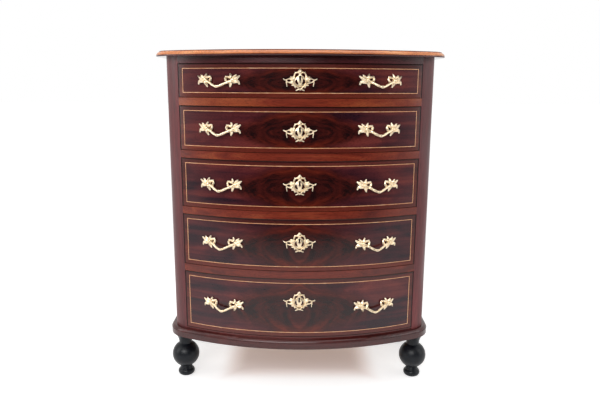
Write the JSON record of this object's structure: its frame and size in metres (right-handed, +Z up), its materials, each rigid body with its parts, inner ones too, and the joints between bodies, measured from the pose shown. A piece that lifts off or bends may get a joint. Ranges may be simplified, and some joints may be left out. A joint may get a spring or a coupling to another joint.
{
  "type": "bow front chest of drawers",
  "caption": "Bow-fronted chest of drawers in veneered wood with inlaid stringing, cast leaf pulls, pierced key plates, sliding locked drawers, a moulded top and turned ball feet.",
  "frame": {"origin": "on the floor under the middle of the top board's box", "axes": "+Z up, -Y to the front, +X to the right seen from the front"},
  "size_m": [0.966, 0.53, 1.165],
  "materials": {
    "mahogany": "french polished",
    "flame_veneer": "french polished flame veneer",
    "boxwood": "polished inlay",
    "inner_wood": "bare pine and oak",
    "ebonised": "black polish",
    "brass": "cast and lacquered",
    "lock_iron": "dark iron"
  },
  "bodies": {
    "carcass": {"top_board": "mahogany", "left_side": "mahogany", "right_side": "mahogany", "left_stile": "mahogany", "right_stile": "mahogany", "back_boards": "inner_wood", "top_rails": "mahogany", "divider_rails": "mahogany", "base_rail": "mahogany", "drawer_runners": "inner_wood", "drawer_stops": "inner_wood", "bottom_board": "inner_wood", "plinth_moulding": "mahogany", "feet": "ebonised", "foot_blocks": "inner_wood"},
    "drawer_1": {"drawer_1_front": "flame_veneer", "drawer_1_sides": "inner_wood", "drawer_1_back": "inner_wood", "drawer_1_bottom": "inner_wood", "drawer_1_stringing": "boxwood", "drawer_1_pulls": "brass", "drawer_1_escutcheon": "brass", "drawer_1_lock": "lock_iron"},
    "lock_bolt_1": {"drawer_1_lock_bolt": "lock_iron"},
    "drawer_2": {"drawer_2_front": "flame_veneer", "drawer_2_sides": "inner_wood", "drawer_2_back": "inner_wood", "drawer_2_bottom": "inner_wood", "drawer_2_stringing": "boxwood", "drawer_2_pulls": "brass", "drawer_2_escutcheon": "brass", "drawer_2_lock": "lock_iron"},
    "lock_bolt_2": {"drawer_2_lock_bolt": "lock_iron"},
    "drawer_3": {"drawer_3_front": "flame_veneer", "drawer_3_sides": "inner_wood", "drawer_3_back": "inner_wood", "drawer_3_bottom": "inner_wood", "drawer_3_stringing": "boxwood", "drawer_3_pulls": "brass", "drawer_3_escutcheon": "brass", "drawer_3_lock": "lock_iron"},
    "lock_bolt_3": {"drawer_3_lock_bolt": "lock_iron"},
    "drawer_4": {"drawer_4_front": "flame_veneer", "drawer_4_sides": "inner_wood", "drawer_4_back": "inner_wood", "drawer_4_bottom": "inner_wood", "drawer_4_stringing": "boxwood", "drawer_4_pulls": "brass", "drawer_4_escutcheon": "brass", "drawer_4_lock": "lock_iron"},
    "lock_bolt_4": {"drawer_4_lock_bolt": "lock_iron"},
    "drawer_5": {"drawer_5_front": "flame_veneer", "drawer_5_sides": "inner_wood", "drawer_5_back": "inner_wood", "drawer_5_bottom": "inner_wood", "drawer_5_stringing": "boxwood", "drawer_5_pulls": "brass", "drawer_5_escutcheon": "brass", "drawer_5_lock": "lock_iron"},
    "lock_bolt_5": {"drawer_5_lock_bolt": "lock_iron"}
  },
  "joints": [
    {"name": "drawer_1_slide", "type": "slide", "parent": "carcass", "child": "drawer_1", "axis": [0, -1, 0], "range_m": [0, 0.3]},
    {"name": "lock_bolt_1_throw", "type": "slide", "parent": "drawer_1", "child": "lock_bolt_1", "axis": [0, 0, 1], "range_m": [0, 0.009]},
    {"name": "drawer_2_slide", "type": "slide", "parent": "carcass", "child": "drawer_2", "axis": [0, -1, 0], "range_m": [0, 0.3]},
    {"name": "lock_bolt_2_throw", "type": "slide", "parent": "drawer_2", "child": "lock_bolt_2", "axis": [0, 0, 1], "range_m": [0, 0.009]},
    {"name": "drawer_3_slide", "type": "slide", "parent": "carcass", "child": "drawer_3", "axis": [0, -1, 0], "range_m": [0, 0.3]},
    {"name": "lock_bolt_3_throw", "type": "slide", "parent": "drawer_3", "child": "lock_bolt_3", "axis": [0, 0, 1], "range_m": [0, 0.009]},
    {"name": "drawer_4_slide", "type": "slide", "parent": "carcass", "child": "drawer_4", "axis": [0, -1, 0], "range_m": [0, 0.3]},
    {"name": "lock_bolt_4_throw", "type": "slide", "parent": "drawer_4", "child": "lock_bolt_4", "axis": [0, 0, 1], "range_m": [0, 0.009]},
    {"name": "drawer_5_slide", "type": "slide", "parent": "carcass", "child": "drawer_5", "axis": [0, -1, 0], "range_m": [0, 0.3]},
    {"name": "lock_bolt_5_throw", "type": "slide", "parent": "drawer_5", "child": "lock_bolt_5", "axis": [0, 0, 1], "range_m": [0, 0.009]}
  ]
}
